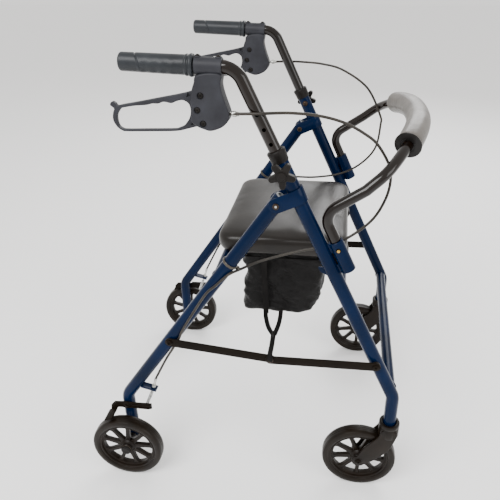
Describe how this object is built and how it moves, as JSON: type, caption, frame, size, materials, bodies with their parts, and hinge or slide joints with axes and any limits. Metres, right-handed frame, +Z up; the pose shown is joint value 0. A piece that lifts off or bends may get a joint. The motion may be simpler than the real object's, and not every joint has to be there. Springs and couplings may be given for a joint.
{
  "type": "rollator walker",
  "caption": "Folding wheeled walking frame with swivel front casters, height-adjustable handles, loop brake levers, padded flip-up seat, curved foam backrest and under-seat pouch",
  "frame": {"origin": "on the floor plane, under the middle of the bounding box", "axes": "+X is the direction of travel, +Y its left, +Z up"},
  "size_m": [0.6601, 0.558, 0.8862],
  "materials": {
    "blue_paint": "satin-gloss royal blue powder coat",
    "black_paint": "gloss black enamel",
    "charcoal_plastic": "fine-grained charcoal moulding",
    "grip_rubber": "soft matt grip rubber",
    "wheel_plastic": "brown-black moulding, slight sheen",
    "tyre_rubber": "solid soft tyre",
    "zinc_steel": "bright zinc",
    "black_steel": "black enamelled flat steel",
    "brass": "bright brass",
    "seat_vinyl": "glossy grained black vinyl",
    "grey_foam": "skinned mid-grey foam",
    "black_nylon": "black woven nylon",
    "cable_sheath": "smooth dark cable sheath"
  },
  "bodies": {
    "front_frame": {"front_leg_right": "blue_paint", "front_leg_left": "blue_paint", "backrest_sleeve_right": "blue_paint", "backrest_sleeve_left": "blue_paint", "pivot_bracket_right": "blue_paint", "pivot_bracket_left": "blue_paint", "pivot_bolt_right": "zinc_steel", "pivot_bolt_left": "zinc_steel", "collar_right": "charcoal_plastic", "collar_left": "charcoal_plastic", "caster_stem_right": "zinc_steel", "caster_stem_left": "zinc_steel", "fold_strap_right": "black_nylon", "fold_strap_left": "black_nylon", "brake_cable_right": "cable_sheath", "brake_cable_left": "cable_sheath", "front_crossbar": "blue_paint", "seat_crossbar_front": "blue_paint", "backrest_tube": "black_paint", "backrest_pad": "grey_foam", "seat_bag": "black_nylon"},
    "rear_frame": {"rear_leg_right": "blue_paint", "rear_leg_left": "blue_paint", "rear_axle_right": "zinc_steel", "rear_axle_left": "zinc_steel", "cable_clip_right": "charcoal_plastic", "cable_clip_left": "charcoal_plastic", "seat_crossbar_rear": "blue_paint"},
    "seat": {"seat_board": "charcoal_plastic", "seat_cushion": "seat_vinyl"},
    "rear_wheel_right": {"rear_rim_right": "wheel_plastic", "rear_tyre_right": "tyre_rubber"},
    "caster_right": {"caster_fork_right": "wheel_plastic", "front_axle_right": "zinc_steel"},
    "front_wheel_right": {"front_rim_right": "wheel_plastic", "front_tyre_right": "tyre_rubber"},
    "handle_right": {"handle_tube_right": "black_paint", "grip_right": "grip_rubber", "brake_housing_right": "charcoal_plastic"},
    "lever_right": {"brake_lever_right": "charcoal_plastic"},
    "brake_right": {"brake_arm_right": "black_steel"},
    "knob_right": {"height_knob_right": "charcoal_plastic"},
    "button_right": {"spring_button_right": "brass"},
    "link_rear_right": {"brace_rear_right": "black_steel"},
    "link_front_right": {"brace_front_right": "black_steel"},
    "rear_wheel_left": {"rear_rim_left": "wheel_plastic", "rear_tyre_left": "tyre_rubber"},
    "caster_left": {"caster_fork_left": "wheel_plastic", "front_axle_left": "zinc_steel"},
    "front_wheel_left": {"front_rim_left": "wheel_plastic", "front_tyre_left": "tyre_rubber"},
    "handle_left": {"handle_tube_left": "black_paint", "grip_left": "grip_rubber", "brake_housing_left": "charcoal_plastic"},
    "lever_left": {"brake_lever_left": "charcoal_plastic"},
    "brake_left": {"brake_arm_left": "black_steel"},
    "knob_left": {"height_knob_left": "charcoal_plastic"},
    "button_left": {"spring_button_left": "brass"},
    "link_rear_left": {"brace_rear_left": "black_steel"},
    "link_front_left": {"brace_front_left": "black_steel"}
  },
  "joints": [
    {"name": "fold", "type": "hinge", "parent": "front_frame", "child": "rear_frame", "pos_m": [0.067, 0, 0.6485], "axis": [0, -1, 0], "range_deg": [0, 38], "deforming": ["fold_strap_right", "fold_strap_left", "brake_cable_right", "brake_cable_left"]},
    {"name": "seat_flip", "type": "hinge", "parent": "front_frame", "child": "seat", "pos_m": [0.1786, 0, 0.4945], "axis": [0, 1, 0], "range_deg": [0, 85]},
    {"name": "rear_wheel_spin_right", "type": "hinge", "parent": "rear_frame", "child": "rear_wheel_right", "pos_m": [-0.254, -0.2592, 0.0762], "axis": [0, 1, 0], "continuous": true},
    {"name": "caster_swivel_right", "type": "hinge", "parent": "front_frame", "child": "caster_right", "pos_m": [0.2945, -0.222, 0.15], "axis": [0, 0, 1], "continuous": true},
    {"name": "front_wheel_spin_right", "type": "hinge", "parent": "caster_right", "child": "front_wheel_right", "pos_m": [0.2388, -0.222, 0.0762], "axis": [0, 1, 0], "continuous": true},
    {"name": "handle_height_right", "type": "slide", "parent": "front_frame", "child": "handle_right", "axis": [-0.4226, 0, 0.9063], "range_m": [-0.05, 0.0762]},
    {"name": "brake_squeeze_right", "type": "hinge", "parent": "handle_right", "child": "lever_right", "pos_m": [-0.0487, -0.222, 0.825], "axis": [0, 1, 0], "range_deg": [0, 14], "stiffness_Nm_per_rad": 2, "springref_deg": -8.59},
    {"name": "brake_arm_swing_right", "type": "hinge", "parent": "rear_frame", "child": "brake_right", "pos_m": [-0.253, -0.222, 0.173], "axis": [0, -1, 0], "range_deg": [0, 7]},
    {"name": "knob_turn_right", "type": "hinge", "parent": "front_frame", "child": "knob_right", "pos_m": [0.07874, -0.222, 0.7087], "axis": [0, 1, 0], "continuous": true},
    {"name": "button_press_right", "type": "slide", "parent": "front_frame", "child": "button_right", "axis": [0, 1, 0], "range_m": [0, 0.0028], "stiffness_N_per_m": 500, "springref_m": -0.001},
    {"name": "link_rear_turn_right", "type": "hinge", "parent": "rear_frame", "child": "link_rear_right", "pos_m": [-0.14256, -0.222, 0.3481], "axis": [0, -1, 0], "range_deg": [0, 48]},
    {"name": "link_front_turn_right", "type": "hinge", "parent": "front_frame", "child": "link_front_right", "pos_m": [0.2544, -0.222, 0.332], "axis": [0, 1, 0], "range_deg": [0, 49.2]},
    {"name": "rear_wheel_spin_left", "type": "hinge", "parent": "rear_frame", "child": "rear_wheel_left", "pos_m": [-0.254, 0.2592, 0.0762], "axis": [0, 1, 0], "continuous": true},
    {"name": "caster_swivel_left", "type": "hinge", "parent": "front_frame", "child": "caster_left", "pos_m": [0.2945, 0.222, 0.15], "axis": [0, 0, 1], "continuous": true},
    {"name": "front_wheel_spin_left", "type": "hinge", "parent": "caster_left", "child": "front_wheel_left", "pos_m": [0.2388, 0.222, 0.0762], "axis": [0, 1, 0], "continuous": true},
    {"name": "handle_height_left", "type": "slide", "parent": "front_frame", "child": "handle_left", "axis": [-0.4226, 0, 0.9063], "range_m": [-0.05, 0.0762]},
    {"name": "brake_squeeze_left", "type": "hinge", "parent": "handle_left", "child": "lever_left", "pos_m": [-0.0487, 0.222, 0.825], "axis": [0, 1, 0], "range_deg": [0, 14], "stiffness_Nm_per_rad": 2, "springref_deg": -8.59},
    {"name": "brake_arm_swing_left", "type": "hinge", "parent": "rear_frame", "child": "brake_left", "pos_m": [-0.253, 0.222, 0.173], "axis": [0, -1, 0], "range_deg": [0, 7]},
    {"name": "knob_turn_left", "type": "hinge", "parent": "front_frame", "child": "knob_left", "pos_m": [0.07874, 0.222, 0.7087], "axis": [0, 1, 0], "continuous": true},
    {"name": "button_press_left", "type": "slide", "parent": "front_frame", "child": "button_left", "axis": [0, -1, 0], "range_m": [0, 0.0028], "stiffness_N_per_m": 500, "springref_m": -0.001},
    {"name": "link_rear_turn_left", "type": "hinge", "parent": "rear_frame", "child": "link_rear_left", "pos_m": [-0.14256, 0.222, 0.3481], "axis": [0, -1, 0], "range_deg": [0, 48]},
    {"name": "link_front_turn_left", "type": "hinge", "parent": "front_frame", "child": "link_front_left", "pos_m": [0.2544, 0.222, 0.332], "axis": [0, 1, 0], "range_deg": [0, 49.2]}
  ],
  "couplings": [
    {"joint": "brake_arm_swing_right", "follows": "brake_squeeze_right", "ratio": 0.5},
    {"joint": "link_rear_turn_right", "follows": "fold", "ratio": 1.2585},
    {"joint": "link_front_turn_right", "follows": "fold", "ratio": 1.2901},
    {"joint": "brake_arm_swing_left", "follows": "brake_squeeze_left", "ratio": 0.5},
    {"joint": "link_rear_turn_left", "follows": "fold", "ratio": 1.2585},
    {"joint": "link_front_turn_left", "follows": "fold", "ratio": 1.2901}
  ]
}
